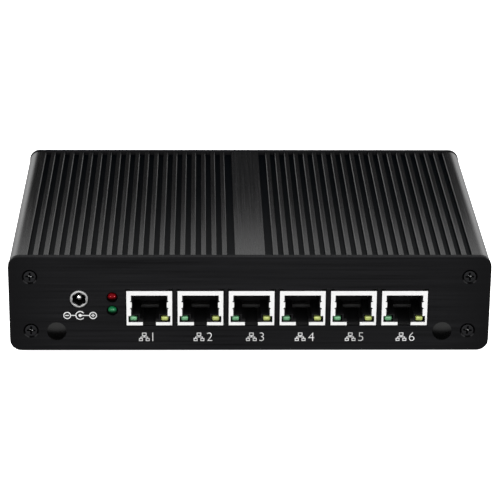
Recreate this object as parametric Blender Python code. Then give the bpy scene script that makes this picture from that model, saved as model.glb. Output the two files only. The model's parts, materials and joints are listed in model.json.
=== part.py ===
"""Fanless six-port firewall appliance: finned aluminium case, flat end panels, six network jacks.

Case coordinates, used by every builder below: X across the case, Y from the front panel's face towards
the rear, Z up from the underside of the case. The whole case hangs on one empty, CASE, which carries it
into the part's own frame: origin on the standing surface under the middle of the case, front facing -Y.
Blender units are metres; MM turns the drawing's millimetres into them.
"""
import math

import bmesh
import bpy
from mathutils import Vector

for old in list(bpy.data.objects):
    bpy.data.objects.remove(old, do_unlink=True)

MM = 0.001

# ---- driving dimensions, millimetres -------------------------------------------------------------------
CASE_W = 169.5            # end panels, across
CASE_H = 35.8             # end panels, high
CASE_D = 114.0            # front face to rear face
PANEL_T = 1.8             # end panels' thickness
PANEL_R = 4.0             # end panels' corner radius
PANEL_EDGE = 0.25         # small chamfer round an end panel's outer face
GAP = 0.3                 # between pieces that touch
FOOT_H = 2.5              # case underside above the standing surface

SHELL_W = 169.1           # extrusion, a little inside the panels' outline
SHELL_TOP = 35.6
SHELL_BASE = 0.2
SHELL_R = 3.8
WALL = 2.5                # side walls
CEILING = 31.15           # underside of the extrusion's top
FIN_PITCH = 3.677
FIN_FIRST = 8.11          # first fin's inner flank from the centre line
FIN_W = 1.70
FIN_COUNT = 19            # on each side of the centre strip
FIN_DEPTH = 1.45
FIN_CHAMFER = 0.28        # on the flank that faces the centre line
STRIP_HALF = 5.28         # flat centre strip

BOSS_X, BOSS_LOW, BOSS_HIGH = 77.2, 7.65, 28.1     # end-panel screws
BOSS_IN = 73.8            # screw channels' inner face
PORT_HOLE_R = 1.7
LEDGE_IN = 68.2           # ledges that the bottom cover is screwed to
LEDGE_Z0, LEDGE_Z1 = 2.0, 3.9
COVER_HALF = 74.2
COVER_T = 1.5
COVER_SCREW_X, COVER_SCREW_Y = 71.3, (12.0, 102.0)

LAN_FIRST, LAN_PITCH, LAN_COUNT = -35.42, 18.0, 6
LAN_W, LAN_H, LAN_D = 16.06, 13.06, 21.0
LAN_Z = 9.81              # underside of the jacks' shields
LAN_PROUD = 0.3
SHEET = 0.3               # shield's sheet metal

DC_X, DC_Z, DC_R = -60.1, 19.7, 3.2
LED_X, LED_RED_Z, LED_GREEN_Z, LED_R = -48.46, 20.35, 15.35, 1.62
PLUG_X, PLUG_Z, PLUG_R, PLUG_NECK_R = 68.15, 7.42, 3.42, 2.8
SCREW_HEAD_R, SCREW_SINK, SCREW_SHANK_R = 2.12, 0.35, 1.4
COUNTERSINK_R = 2.75

BOARD_HALF, BOARD_Y0, BOARD_Y1 = 73.2, 2.8, 110.9
BOARD_Z0, BOARD_T = 7.9, 1.6
BOARD_SCREWS = ((-64.0, 24.0), (64.0, 23.6), (-64.0, 104.5), (64.6, 104.5))

BUTTON_X, BUTTON_Z = 50.0, 18.0
BUTTON_BEZEL_R, BUTTON_NECK_R, BUTTON_CAP_R = 6.0, 5.0, 3.5
REAR_PROUD = 1.2
USB_X = (28.0, 10.5)
USB_W, USB_H, USB_D = 13.1, 5.9, 14.0
HDMI_X, HDMI_W, HDMI_H, HDMI_D = -10.0, 15.0, 5.6, 12.0
REAR_PORT_Z = 9.8

BOARD_TOP = BOARD_Z0 + BOARD_T

CASE = bpy.data.objects.new("case_frame", None)
bpy.context.scene.collection.objects.link(CASE)
CASE.location = (0.0, -CASE_D / 2 * MM, FOOT_H * MM)


# ---- materials -----------------------------------------------------------------------------------------
def material(name, colour, roughness, metallic, alpha=1.0):
    m = bpy.data.materials.new(name)
    m.use_nodes = True
    bsdf = m.node_tree.nodes["Principled BSDF"]
    bsdf.inputs["Base Color"].default_value = (*colour, 1.0)
    bsdf.inputs["Roughness"].default_value = roughness
    bsdf.inputs["Metallic"].default_value = metallic
    bsdf.inputs["Alpha"].default_value = alpha
    m.diffuse_color = (*colour, 1.0)
    return m


M_ANODISED = material("black_anodised_aluminium", (0.014, 0.014, 0.015), 0.42, 0.7)
M_COVER = material("black_painted_steel", (0.018, 0.018, 0.019), 0.5, 0.3)
M_SCREW = material("black_steel_screw", (0.02, 0.02, 0.021), 0.35, 0.9)
M_ZINC = material("zinc_steel_screw", (0.62, 0.62, 0.6), 0.3, 1.0)
M_TIN = material("tinned_steel", (0.86, 0.86, 0.85), 0.32, 0.9)
M_BLACK = material("black_moulded_plastic", (0.008, 0.008, 0.009), 0.5, 0.0)
M_GLOSS = material("gloss_black_plastic", (0.006, 0.006, 0.007), 0.15, 0.0)
M_RUBBER = material("black_rubber", (0.012, 0.012, 0.012), 0.85, 0.0)
M_NICKEL = material("nickel_plate", (0.78, 0.78, 0.77), 0.25, 1.0)
M_RED = material("red_lens", (0.32, 0.012, 0.015), 0.12, 0.0)
M_GREEN = material("green_lens", (0.015, 0.22, 0.06), 0.12, 0.0)
M_BOARD = material("circuit_board", (0.01, 0.06, 0.03), 0.5, 0.0)
M_CHIP = material("chip_epoxy", (0.02, 0.02, 0.022), 0.45, 0.0)
M_BLOCK = material("bare_aluminium", (0.7, 0.7, 0.71), 0.35, 1.0)


# ---- mesh builders, all in millimetres of case coordinates ----------------------------------------------
def new_object(name, bm, mat, origin=(0.0, 0.0, 0.0), parent=CASE, smooth=None):
    """Turns a bmesh in case millimetres into an object whose origin is at the given case point."""
    bmesh.ops.recalc_face_normals(bm, faces=bm.faces)
    for v in bm.verts:
        v.co = (v.co - Vector(origin)) * MM
    mesh = bpy.data.meshes.new(name)
    bm.to_mesh(mesh)
    bm.free()
    if mat is not None:
        mesh.materials.append(mat)
    if smooth is not None:
        mesh.shade_smooth()
        mesh.set_sharp_from_angle(angle=math.radians(smooth))
    obj = bpy.data.objects.new(name, mesh)
    bpy.context.scene.collection.objects.link(obj)
    obj.parent = parent
    obj.location = Vector(origin) * MM
    return obj


def box_into(bm, x0, x1, y0, y1, z0, z1):
    co = [(x, y, z) for x in (x0, x1) for y in (y0, y1) for z in (z0, z1)]
    v = [bm.verts.new(c) for c in co]
    for quad in ((0, 1, 3, 2), (4, 6, 7, 5), (0, 4, 5, 1), (2, 3, 7, 6), (0, 2, 6, 4), (1, 5, 7, 3)):
        bm.faces.new([v[i] for i in quad])


def box(x0, x1, y0, y1, z0, z1):
    bm = bmesh.new()
    box_into(bm, x0, x1, y0, y1, z0, z1)
    return bm


def rings(loops, cap_start=True, cap_end=True):
    """Skins a row of closed loops that have the same number of points."""
    bm = bmesh.new()
    rows = [[bm.verts.new(p) for p in loop] for loop in loops]
    n = len(rows[0])
    for a, b in zip(rows, rows[1:]):
        for i in range(n):
            j = (i + 1) % n
            bm.faces.new((a[i], a[j], b[j], b[i]))
    if cap_start:
        bm.faces.new(rows[0])
    if cap_end:
        bm.faces.new(list(reversed(rows[-1])))
    return bm


def prism_y(outline, y0, y1):
    """Extrudes an (x, z) outline along Y."""
    return rings([[(x, y0, z) for x, z in outline], [(x, y1, z) for x, z in outline]])


def prism_z(outline, z0, z1):
    """Extrudes an (x, y) outline along Z."""
    return rings([[(x, y, z0) for x, y in outline], [(x, y, z1) for x, y in outline]])


def circle(cx, cz, r, n, start=0.0):
    return [(cx + r * math.cos(start + 2 * math.pi * i / n), cz + r * math.sin(start + 2 * math.pi * i / n))
            for i in range(n)]


def rounded_rect(half_w, z0, z1, r, n=7):
    """Outline of a rectangle with rounded corners, n points on each corner."""
    out = []
    for cx, cz, a0 in ((half_w - r, z1 - r, 0.0), (-half_w + r, z1 - r, 90.0),
                       (-half_w + r, z0 + r, 180.0), (half_w - r, z0 + r, 270.0)):
        for i in range(n):
            a = math.radians(a0 + 90.0 * i / (n - 1))
            out.append((cx + r * math.cos(a), cz + r * math.sin(a)))
    return out


def lathe_y(profile, cx, cz, n):
    """Turns (radius, y) points about the Y-parallel axis through (cx, cz); radius 0 closes an end."""
    bm = bmesh.new()
    rows = []
    for r, y in profile:
        if r <= 1e-6:
            rows.append([bm.verts.new((cx, y, cz))])
        else:
            rows.append([bm.verts.new((x, y, z)) for x, z in circle(cx, cz, r, n)])
    closed = profile[0][0] > 1e-6 and profile[-1][0] > 1e-6
    pairs = list(zip(rows, rows[1:]))
    if closed:
        pairs.append((rows[-1], rows[0]))
    for a, b in pairs:
        for i in range(n):
            j = (i + 1) % n
            if len(a) == 1 and len(b) == 1:
                continue
            if len(a) == 1:
                bm.faces.new((a[0], b[j], b[i]))
            elif len(b) == 1:
                bm.faces.new((a[i], a[j], b[0]))
            else:
                bm.faces.new((a[i], a[j], b[j], b[i]))
    return bm


def lathe_z(profile, cx, cy, n):
    """Turns (radius, z) points about the vertical axis through (cx, cy)."""
    bm = lathe_y(profile, cx, 0.0, n)
    for v in bm.verts:
        x, y, z = v.co
        v.co = (x, cy - z, y)
    return bm


def cutter(bm, name):
    obj = new_object(name, bm, None)
    obj.hide_render = True
    obj.display_type = "WIRE"
    return obj


def boolean(obj, other, operation="DIFFERENCE"):
    mod = obj.modifiers.new(other.name, "BOOLEAN")
    mod.operation = operation
    mod.solver = "EXACT"
    mod.object = other


def baked(obj):
    """Applies an object's modifiers and removes the objects they used."""
    bpy.context.view_layer.update()
    graph = bpy.context.evaluated_depsgraph_get()
    mesh = bpy.data.meshes.new_from_object(obj.evaluated_get(graph))
    used = [m.object for m in obj.modifiers if m.type == "BOOLEAN"]
    obj.modifiers.clear()
    obj.data = mesh
    for o in used:
        bpy.data.objects.remove(o, do_unlink=True)
    return mesh


def smooth_by_angle(mesh, degrees):
    mesh.shade_smooth()
    mesh.set_sharp_from_angle(angle=math.radians(degrees))


# ---- end panels ------------------------------------------------------------------------------------------
def end_panel(name, y_out, y_in):
    """A flat plate with rounded corners and a fine chamfer round its outer face."""
    step = PANEL_EDGE if y_in > y_out else -PANEL_EDGE
    inner = rounded_rect(CASE_W / 2 - PANEL_EDGE, PANEL_EDGE, CASE_H - PANEL_EDGE, PANEL_R - PANEL_EDGE)
    outer = rounded_rect(CASE_W / 2, 0.0, CASE_H, PANEL_R)
    bm = rings([[(x, y_out, z) for x, z in inner],
                [(x, y_out + step, z) for x, z in outer],
                [(x, y_in, z) for x, z in outer]])
    return new_object(name, bm, M_ANODISED)


def countersink(cx, cz, y_face, into, name):
    """Cone and through hole for a flat-head screw; into is +1 or -1 along Y."""
    t = PANEL_T + 1.0
    prof = [(0.0, y_face - into * 0.5), (COUNTERSINK_R + 0.5, y_face - into * 0.5),
            (PORT_HOLE_R, y_face + into * (COUNTERSINK_R - PORT_HOLE_R)), (PORT_HOLE_R, y_face + into * t),
            (0.0, y_face + into * t)]
    return cutter(lathe_y(prof, cx, cz, 24), name)


panel_screw_spots = [(-BOSS_X, BOSS_HIGH), (BOSS_X, BOSS_HIGH), (-BOSS_X, BOSS_LOW), (BOSS_X, BOSS_LOW)]

front = end_panel("front_panel", 0.0, PANEL_T)
rear = end_panel("rear_panel", CASE_D, CASE_D - PANEL_T)
for i, (x, z) in enumerate(panel_screw_spots):
    boolean(front, countersink(x, z, 0.0, 1, f"cut_front_screw_{i}"))
    boolean(rear, countersink(x, z, CASE_D, -1, f"cut_rear_screw_{i}"))

lan_centres = [LAN_FIRST + LAN_PITCH * k for k in range(LAN_COUNT)]
cut_half = LAN_W / 2 + 0.35
for k, cx in enumerate(lan_centres):
    z0, z1 = LAN_Z - 0.42, LAN_Z + LAN_H + GAP
    ear, ear_h = 1.7, 0.3      # the cut-out's upper corners are relieved
    outline = [(cx - cut_half, z0), (cx + cut_half, z0), (cx + cut_half, z1 + ear_h),
               (cx + cut_half - ear, z1 + ear_h), (cx + cut_half - ear, z1), (cx - cut_half + ear, z1),
               (cx - cut_half + ear, z1 + ear_h), (cx - cut_half, z1 + ear_h)]
    boolean(front, cutter(prism_y(outline, -1.0, PANEL_T + 1.0), f"cut_lan_{k}"))

boolean(front, cutter(prism_y(circle(DC_X, DC_Z, DC_R + GAP, 32), -1.0, PANEL_T + 1.0), "cut_dc"))
for tag, z in (("red", LED_RED_Z), ("green", LED_GREEN_Z)):
    r = LED_R + GAP
    prof = [(0.0, -0.5), (r + 0.65, -0.5), (r, 0.15), (r, PANEL_T + 1.0), (0.0, PANEL_T + 1.0)]
    boolean(front, cutter(lathe_y(prof, LED_X, z, 24), f"cut_led_{tag}"))
for tag, x in (("left", -PLUG_X), ("right", PLUG_X)):
    boolean(front, cutter(prism_y(circle(x, PLUG_Z, PLUG_NECK_R + GAP, 28), -1.0, PANEL_T + 1.0), f"cut_plug_{tag}"))

boolean(rear, cutter(prism_y(circle(BUTTON_X, BUTTON_Z, BUTTON_NECK_R + GAP, 28),
                             CASE_D - PANEL_T - 1.0, CASE_D + 1.0), "cut_button"))
for i, x in enumerate(USB_X):
    boolean(rear, cutter(box(x - USB_W / 2 - 0.35, x + USB_W / 2 + 0.35, CASE_D - PANEL_T - 1.0, CASE_D + 1.0,
                             REAR_PORT_Z - 0.35, REAR_PORT_Z + USB_H + 0.35), f"cut_usb_{i}"))
hdmi_cut = [(HDMI_X + sx * w, z) for sx, w, z in
            ((-1, HDMI_W / 2 - 2.1, REAR_PORT_Z - 0.35), (1, HDMI_W / 2 - 2.1, REAR_PORT_Z - 0.35),
             (1, HDMI_W / 2 + 0.35, REAR_PORT_Z + 2.0), (1, HDMI_W / 2 + 0.35, REAR_PORT_Z + HDMI_H + 0.35),
             (-1, HDMI_W / 2 + 0.35, REAR_PORT_Z + HDMI_H + 0.35), (-1, HDMI_W / 2 + 0.35, REAR_PORT_Z + 2.0))]
boolean(rear, cutter(prism_y(hdmi_cut, CASE_D - PANEL_T - 1.0, CASE_D + 1.0), "cut_hdmi"))

# ---- the finned extrusion --------------------------------------------------------------------------------
half = SHELL_W / 2
floor_z = SHELL_TOP - FIN_DEPTH


def right_top():
    """Top outline from the centre line out to the shoulder's round, on the +X side."""
    pts = [(STRIP_HALF, SHELL_TOP), (STRIP_HALF, floor_z)]
    for k in range(FIN_COUNT):
        x0 = FIN_FIRST + FIN_PITCH * k
        pts += [(x0, floor_z), (x0, SHELL_TOP - FIN_CHAMFER), (x0 + FIN_CHAMFER, SHELL_TOP),
                (x0 + FIN_W, SHELL_TOP), (x0 + FIN_W, floor_z)]
    x0 = FIN_FIRST + FIN_PITCH * FIN_COUNT
    pts += [(x0, floor_z), (x0, SHELL_TOP - FIN_CHAMFER), (x0 + FIN_CHAMFER, SHELL_TOP)]
    return pts


def arc(cx, cz, r, a0, a1, n):
    return [(cx + r * math.cos(math.radians(a0 + (a1 - a0) * i / n)),
             cz + r * math.sin(math.radians(a0 + (a1 - a0) * i / n))) for i in range(n + 1)]


right = right_top()
right += arc(half - SHELL_R, SHELL_TOP - SHELL_R, SHELL_R, 90, 0, 7)
right += arc(half - SHELL_R, SHELL_BASE + SHELL_R, SHELL_R, 0, -90, 6)
right += [(COVER_HALF + GAP, SHELL_BASE), (COVER_HALF + GAP, LEDGE_Z0), (LEDGE_IN, LEDGE_Z0), (LEDGE_IN, LEDGE_Z1),
          (BOSS_IN, LEDGE_Z1), (BOSS_IN, BOSS_LOW + 3.1), (half - WALL, BOSS_LOW + 3.1),
          (half - WALL, BOSS_HIGH - 3.1), (BOSS_IN, BOSS_HIGH - 3.1), (BOSS_IN, CEILING)]
left = [(-x, z) for x, z in reversed(right)]
shell = new_object("heatsink_shell", prism_y(right + left, PANEL_T + GAP, CASE_D - PANEL_T - GAP), M_ANODISED)
for i, (x, z) in enumerate(panel_screw_spots):
    boolean(shell, cutter(prism_y(circle(x, z, PORT_HOLE_R, 12), 0.0, CASE_D), f"cut_channel_{i}"))
cover_screw_spots = [(sx * COVER_SCREW_X, y) for sx in (-1, 1) for y in COVER_SCREW_Y]
for i, (x, y) in enumerate(cover_screw_spots):
    boolean(shell, cutter(prism_z(circle(x, y, PORT_HOLE_R, 12), LEDGE_Z0 - 1.0, LEDGE_Z1 + 1.0), f"cut_ledge_{i}"))

# ---- bottom cover, with four stand-offs for the board ----------------------------------------------------
cover = new_object("bottom_cover", box(-COVER_HALF, COVER_HALF, PANEL_T + 0.6, CASE_D - PANEL_T - 0.6,
                                       SHELL_BASE, SHELL_BASE + COVER_T), M_COVER)
for i, (x, y) in enumerate(BOARD_SCREWS):
    post = cutter(lathe_z([(0.0, SHELL_BASE + COVER_T - 0.5), (2.75, SHELL_BASE + COVER_T - 0.5),
                           (2.75, BOARD_Z0 - GAP), (0.0, BOARD_Z0 - GAP)], x, y, 12), f"post_{i}")
    boolean(cover, post, "UNION")
for i, (x, y) in enumerate(BOARD_SCREWS):
    boolean(cover, cutter(prism_z(circle(x, y, PORT_HOLE_R, 12), -1.0, BOARD_Z0 + 1.0), f"cut_post_{i}"))
for i, (x, y) in enumerate(cover_screw_spots):
    prof = [(0.0, SHELL_BASE - 0.5), (COUNTERSINK_R + 0.5, SHELL_BASE - 0.5),
            (PORT_HOLE_R, SHELL_BASE + COUNTERSINK_R - PORT_HOLE_R), (PORT_HOLE_R, SHELL_BASE + COVER_T + 1.0),
            (0.0, SHELL_BASE + COVER_T + 1.0)]
    boolean(cover, cutter(lathe_z(prof, x, y, 16), f"cut_cover_{i}"))


# ---- screws ------------------------------------------------------------------------------------------------
def cross_y(cx, cz, y0, y1, arm, width):
    """A tapered cross recess, wide at y0 and narrow at y1."""
    def outline(s):
        a, w = arm * s, width * s
        return [(a, w), (w, w), (w, a), (-w, a), (-w, w), (-a, w), (-a, -w), (-w, -w), (-w, -a), (w, -a), (w, -w),
                (a, -w)]
    return rings([[(cx + x, y0, cz + z) for x, z in outline(1.0)],
                  [(cx + x, y1, cz + z) for x, z in outline(0.45)]])


def flat_screw_mesh(length):
    """A flat-head cross screw along +Y with its head's face at y = 0."""
    taper = SCREW_HEAD_R - SCREW_SHANK_R
    prof = [(0.0, 0.0), (SCREW_HEAD_R, 0.0), (SCREW_SHANK_R, taper), (SCREW_SHANK_R, length - 0.4),
            (SCREW_SHANK_R - 0.4, length), (0.0, length)]
    obj = new_object("screw_pattern", lathe_y(prof, 0.0, 0.0, 20), M_SCREW)
    boolean(obj, cutter(cross_y(0.0, 0.0, -0.15, 1.15, 1.62, 0.34), "cut_cross"))
    mesh = baked(obj)
    mesh.name = "flat_screw"
    bpy.data.objects.remove(obj, do_unlink=True)
    smooth_by_angle(mesh, 35)
    return mesh


def place_copy(name, mesh, location, rotation=(0.0, 0.0, 0.0), parent=CASE):
    obj = bpy.data.objects.new(name, mesh)
    bpy.context.scene.collection.objects.link(obj)
    obj.parent = parent
    obj.location = Vector(location) * MM
    obj.rotation_euler = rotation
    return obj


long_screw = flat_screw_mesh(8.0)
short_screw = flat_screw_mesh(4.2)
for i, (x, z) in enumerate(panel_screw_spots):
    place_copy(f"front_screw_{i + 1}", long_screw, (x, SCREW_SINK, z))
    place_copy(f"rear_screw_{i + 1}", long_screw, (x, CASE_D - SCREW_SINK, z), (0.0, 0.0, math.pi))
for i, (x, y) in enumerate(cover_screw_spots):
    place_copy(f"bottom_screw_{i + 1}", short_screw, (x, y, SHELL_BASE + SCREW_SINK), (math.pi / 2, 0.0, 0.0))

pan = new_object("pan_pattern", lathe_z([(0.0, -5.6), (1.0, -5.6), (1.4, -5.2), (1.4, 0.0), (2.7, 0.0), (2.7, 0.9),
                                         (1.9, 1.6), (0.0, 1.6)], 0.0, 0.0, 12), M_ZINC, smooth=35)
pan_mesh = pan.data
bpy.data.objects.remove(pan, do_unlink=True)
for i, (x, y) in enumerate(BOARD_SCREWS):
    place_copy(f"board_screw_{i + 1}", pan_mesh, (x, y, BOARD_TOP + GAP))

# ---- feet --------------------------------------------------------------------------------------------------
foot = new_object("foot_pattern", lathe_z([(0.0, 0.0), (4.4, 0.0), (5.0, 0.5), (5.0, FOOT_H + SHELL_BASE - GAP),
                                           (0.0, FOOT_H + SHELL_BASE - GAP)], 0.0, 0.0, 24), M_RUBBER, smooth=35)
foot_mesh = foot.data
bpy.data.objects.remove(foot, do_unlink=True)
for i, (x, y) in enumerate(((-58.0, 16.0), (58.0, 16.0), (-58.0, 98.0), (58.0, 98.0))):
    place_copy(f"foot_{i + 1}", foot_mesh, (x, y, -FOOT_H))


# ---- network jacks -----------------------------------------------------------------------------------------
def lan_shield_mesh():
    """Folded sheet-metal can: open towards the plug, with a wide front frame and side grip fingers."""
    hw, h = LAN_W / 2, LAN_H
    obj = new_object("shield_pattern", box(-hw, hw, 0.0, LAN_D, 0.0, h), M_TIN)
    boolean(obj, cutter(box(-hw + SHEET, hw - SHEET, 0.35, LAN_D - SHEET, SHEET, h - SHEET), "cut_inside"))
    side = [(6.45, 11.40), (6.45, 9.35), (6.74, 9.15), (6.74, 8.85), (6.18, 8.62), (6.18, 6.85), (6.76, 6.45),
            (6.76, 6.15), (6.45, 6.0), (6.45, 3.55), (7.39, 3.55), (7.39, 1.09), (2.32, 1.09), (2.32, -1.0)]
    outline = side + [(-x, z) for x, z in reversed(side)]
    boolean(obj, cutter(prism_y(outline, -1.0, 0.7), "cut_mouth"))
    mesh = baked(obj)
    mesh.name = "lan_shield"
    bpy.data.objects.remove(obj, do_unlink=True)
    return mesh


def lan_insert_mesh():
    """Black moulding inside the can: stepped plug socket, two lamp windows, contact comb at the back."""
    hw, y0, y1 = LAN_W / 2 - SHEET - GAP, 0.7, LAN_D - SHEET - GAP
    z0, z1 = SHEET + GAP, LAN_H - SHEET - GAP
    obj = new_object("insert_pattern", box(-hw, hw, y0, y1, z0, z1), M_BLACK)
    side = [(6.0, 11.2), (6.0, 3.97), (3.38, 3.97), (3.38, 2.18), (2.2, 2.18), (2.2, 0.95)]
    socket = side + [(-x, z) for x, z in reversed(side)]
    boolean(obj, cutter(prism_y(socket, -1.0, 14.0), "cut_socket"))
    for s in (-1, 1):
        x0, x1 = sorted((s * 3.9, s * 7.15))
        boolean(obj, cutter(box(x0, x1, -1.0, 6.0, 1.25, 3.6), f"cut_window_{s}"))
    comb = cutter(box(-3.25, 3.25, 11.0, 14.5, 6.9, 8.1), "comb")
    boolean(obj, comb, "UNION")
    mesh = baked(obj)
    mesh.name = "lan_insert"
    bpy.data.objects.remove(obj, do_unlink=True)
    return mesh


shield_mesh, insert_mesh = lan_shield_mesh(), lan_insert_mesh()
for k, cx in enumerate(lan_centres):
    place_copy(f"lan_jack_{k + 1}_shield", shield_mesh, (cx, -LAN_PROUD, LAN_Z))
    place_copy(f"lan_jack_{k + 1}_insert", insert_mesh, (cx, -LAN_PROUD, LAN_Z))

# ---- power inlet -------------------------------------------------------------------------------------------
# Plated sleeve with a scalloped mouth, moulded body on the board behind it, centre pin.
sleeve_out = DC_R
lobes = 48
outer_ring = circle(DC_X, DC_Z, sleeve_out, lobes)


def scallop(r_mid, r_amp):
    pts = []
    for i in range(lobes):
        a = 2 * math.pi * i / lobes
        r = r_mid - r_amp * math.cos(6 * a)
        pts.append((DC_X + r * math.cos(a), DC_Z + r * math.sin(a)))
    return pts


mouth = scallop(2.42, 0.17)
bore = scallop(2.32, 0.17)
sleeve = bmesh.new()
loops = [[(x, -0.15, z) for x, z in circle(DC_X, DC_Z, sleeve_out, lobes)],
         [(x, -0.4, z) for x, z in circle(DC_X, DC_Z, sleeve_out - 0.25, lobes)],
         [(x, -0.4, z) for x, z in mouth],
         [(x, -0.25, z) for x, z in bore],
         [(x, 4.2, z) for x, z in bore],
         [(x, 4.2, z) for x, z in outer_ring]]
rows = [[sleeve.verts.new(p) for p in loop] for loop in loops]
for a, b in zip(rows, rows[1:] + rows[:1]):
    for i in range(lobes):
        j = (i + 1) % lobes
        sleeve.faces.new((a[i], a[j], b[j], b[i]))
new_object("dc_jack_sleeve", sleeve, M_NICKEL, smooth=30)

dc_body = new_object("dc_jack_body", box(DC_X - 4.5, DC_X + 4.5, PANEL_T + GAP, 15.5, BOARD_TOP + GAP, DC_Z + 4.5),
                     M_BLACK)
boolean(dc_body, cutter(lathe_y([(0.0, 1.0), (DC_R + GAP, 1.0), (DC_R + GAP, 4.5), (2.75, 4.5), (2.75, 12.0),
                                 (0.0, 12.0)], DC_X, DC_Z, 24), "cut_dc_bore"))
new_object("dc_jack_pin", lathe_y([(0.0, 1.1), (0.55, 1.15), (0.9, 1.4), (1.0, 1.8), (1.0, 11.7), (0.0, 11.7)],
                                  DC_X, DC_Z, 20), M_NICKEL, smooth=45)

# ---- status lamps ------------------------------------------------------------------------------------------
dome = [(LED_R * math.cos(math.radians(a)), 0.35 - 1.55 * math.sin(math.radians(a))) for a in (90, 66, 43, 20, 0)]
dome[0] = (0.0, dome[0][1])
for tag, z, mat in (("red", LED_RED_Z, M_RED), ("green", LED_GREEN_Z, M_GREEN)):
    new_object(f"status_led_{tag}", lathe_y(dome + [(LED_R, 6.0), (0.0, 6.0)], LED_X, z, 20), mat, smooth=40)
holder = new_object("status_led_holder", box(LED_X - 2.4, LED_X + 2.4, 2.4, 9.5, BOARD_TOP + GAP, LED_RED_Z + 2.6),
                    M_BLACK)
for tag, z in (("red", LED_RED_Z), ("green", LED_GREEN_Z)):
    boolean(holder, cutter(prism_y(circle(LED_X, z, LED_R + GAP, 16), 1.0, 6.0 + GAP), f"cut_holder_{tag}"))

# ---- blanking plugs for the antenna holes ------------------------------------------------------------------
plug_dome = [(PLUG_R * math.cos(math.radians(a)), -GAP - 0.75 * math.sin(math.radians(a)))
             for a in (90, 68, 45, 22, 0)]
plug_dome[0] = (0.0, plug_dome[0][1])
for tag, x in (("left", -PLUG_X), ("right", PLUG_X)):
    prof = plug_dome + [(PLUG_NECK_R, -GAP), (PLUG_NECK_R, 4.6), (PLUG_NECK_R - 0.45, 5.2), (0.0, 5.2)]
    new_object(f"antenna_plug_{tag}", lathe_y(prof, x, PLUG_Z, 24), M_GLOSS, origin=(x, 0.0, PLUG_Z), smooth=40)

# ---- circuit board and what it carries -----------------------------------------------------------------------
notch_x, notch_y = 64.75, 12.0
board_outline = [(-notch_x, BOARD_Y0), (notch_x, BOARD_Y0), (notch_x, notch_y), (BOARD_HALF, notch_y),
                 (BOARD_HALF, BOARD_Y1), (-BOARD_HALF, BOARD_Y1), (-BOARD_HALF, notch_y), (-notch_x, notch_y)]
board = new_object("motherboard", prism_z(board_outline, BOARD_Z0, BOARD_TOP), M_BOARD)
for i, (x, y) in enumerate(BOARD_SCREWS):
    boolean(board, cutter(prism_z(circle(x, y, PORT_HOLE_R, 12), BOARD_Z0 - 1.0, BOARD_TOP + 1.0), f"cut_board_{i}"))

part_z = BOARD_TOP + GAP
CPU_X, CPU_Y = -4.0, 62.0
new_object("processor", box(CPU_X - 11, CPU_X + 11, CPU_Y - 11, CPU_Y + 11, part_z, part_z + 1.4), M_CHIP)
new_object("heat_block", box(CPU_X - 20, CPU_X + 20, CPU_Y - 20, CPU_Y + 20, part_z + 1.7, CEILING - GAP), M_BLOCK)

# memory: socket along its edge, the module lying flat, a sprung latch at each end
RAM_X, RAM_Y0, RAM_Y1 = 60.0, 27.0, 94.6
socket = new_object("memory_socket", box(RAM_X - 1.5, RAM_X + 5.0, RAM_Y0, RAM_Y1, part_z, part_z + 5.2), M_BLACK)
boolean(socket, cutter(box(RAM_X - 3.0, RAM_X + 2.4, RAM_Y0 - 1.0 + 1.6, RAM_Y1 + 1.0 - 1.6,
                           part_z + 2.0, part_z + 3.9), "cut_slot"))
module = new_object("memory_module", box(RAM_X - 28.0, RAM_X + 2.0, RAM_Y0 + 1.0, RAM_Y1 - 1.0,
                                         part_z + 2.4, part_z + 3.5), M_BOARD)
for i in range(4):
    y = RAM_Y0 + 6.0 + 15.2 * i
    boolean(module, cutter(box(RAM_X - 22.0, RAM_X - 10.0, y, y + 9.0, part_z + 3.2, part_z + 4.5), f"chip_{i}"),
            "UNION")
LATCH_Z = part_z + 2.6
for tag, y_out, s in (("front", RAM_Y0 - 0.6, -1), ("rear", RAM_Y1 + 0.6, 1)):
    # an arm beside the module, with a hook over its edge near the far end
    y0, y1 = sorted((y_out, y_out + s * 1.4))
    latch = new_object(f"memory_latch_{tag}", box(RAM_X - 27.0, RAM_X + 1.0, y0, y1, part_z, part_z + 4.6), M_TIN,
                       origin=(RAM_X, y_out + s * 0.7, LATCH_Z))
    h0, h1 = sorted((y_out + s * 0.5, y_out - s * 2.6))
    boolean(latch, cutter(box(RAM_X - 27.0, RAM_X - 24.0, h0, h1, part_z + 3.85, part_z + 4.6), f"hook_{tag}"),
            "UNION")

# solid-state drive card in its edge socket
SSD_X, SSD_Y = -49.0, 30.0
ssd_socket = new_object("drive_socket", box(SSD_X - 11.0, SSD_X + 11.0, SSD_Y, SSD_Y + 7.0, part_z, part_z + 4.2),
                        M_BLACK)
boolean(ssd_socket, cutter(box(SSD_X - 10.3, SSD_X + 10.3, SSD_Y + 2.6, SSD_Y + 8.0, part_z + 1.8, part_z + 3.1),
                           "cut_ssd_slot"))
ssd = new_object("drive_card", box(SSD_X - 9.9, SSD_X + 9.9, SSD_Y + 3.0, SSD_Y + 45.0, part_z + 2.1, part_z + 2.8),
                 M_BOARD)
for i, y in enumerate((SSD_Y + 12.0, SSD_Y + 27.0)):
    boolean(ssd, cutter(box(SSD_X - 6.5, SSD_X + 6.5, y, y + 11.0, part_z + 2.5, part_z + 3.9), f"flash_{i}"), "UNION")

new_object("coin_cell", lathe_z([(0.0, part_z), (9.2, part_z), (9.2, part_z + 0.6), (10.0, part_z + 0.9),
                                 (10.0, part_z + 3.2), (0.0, part_z + 3.2)], -44.0, 91.0, 24), M_NICKEL, smooth=35)

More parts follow.
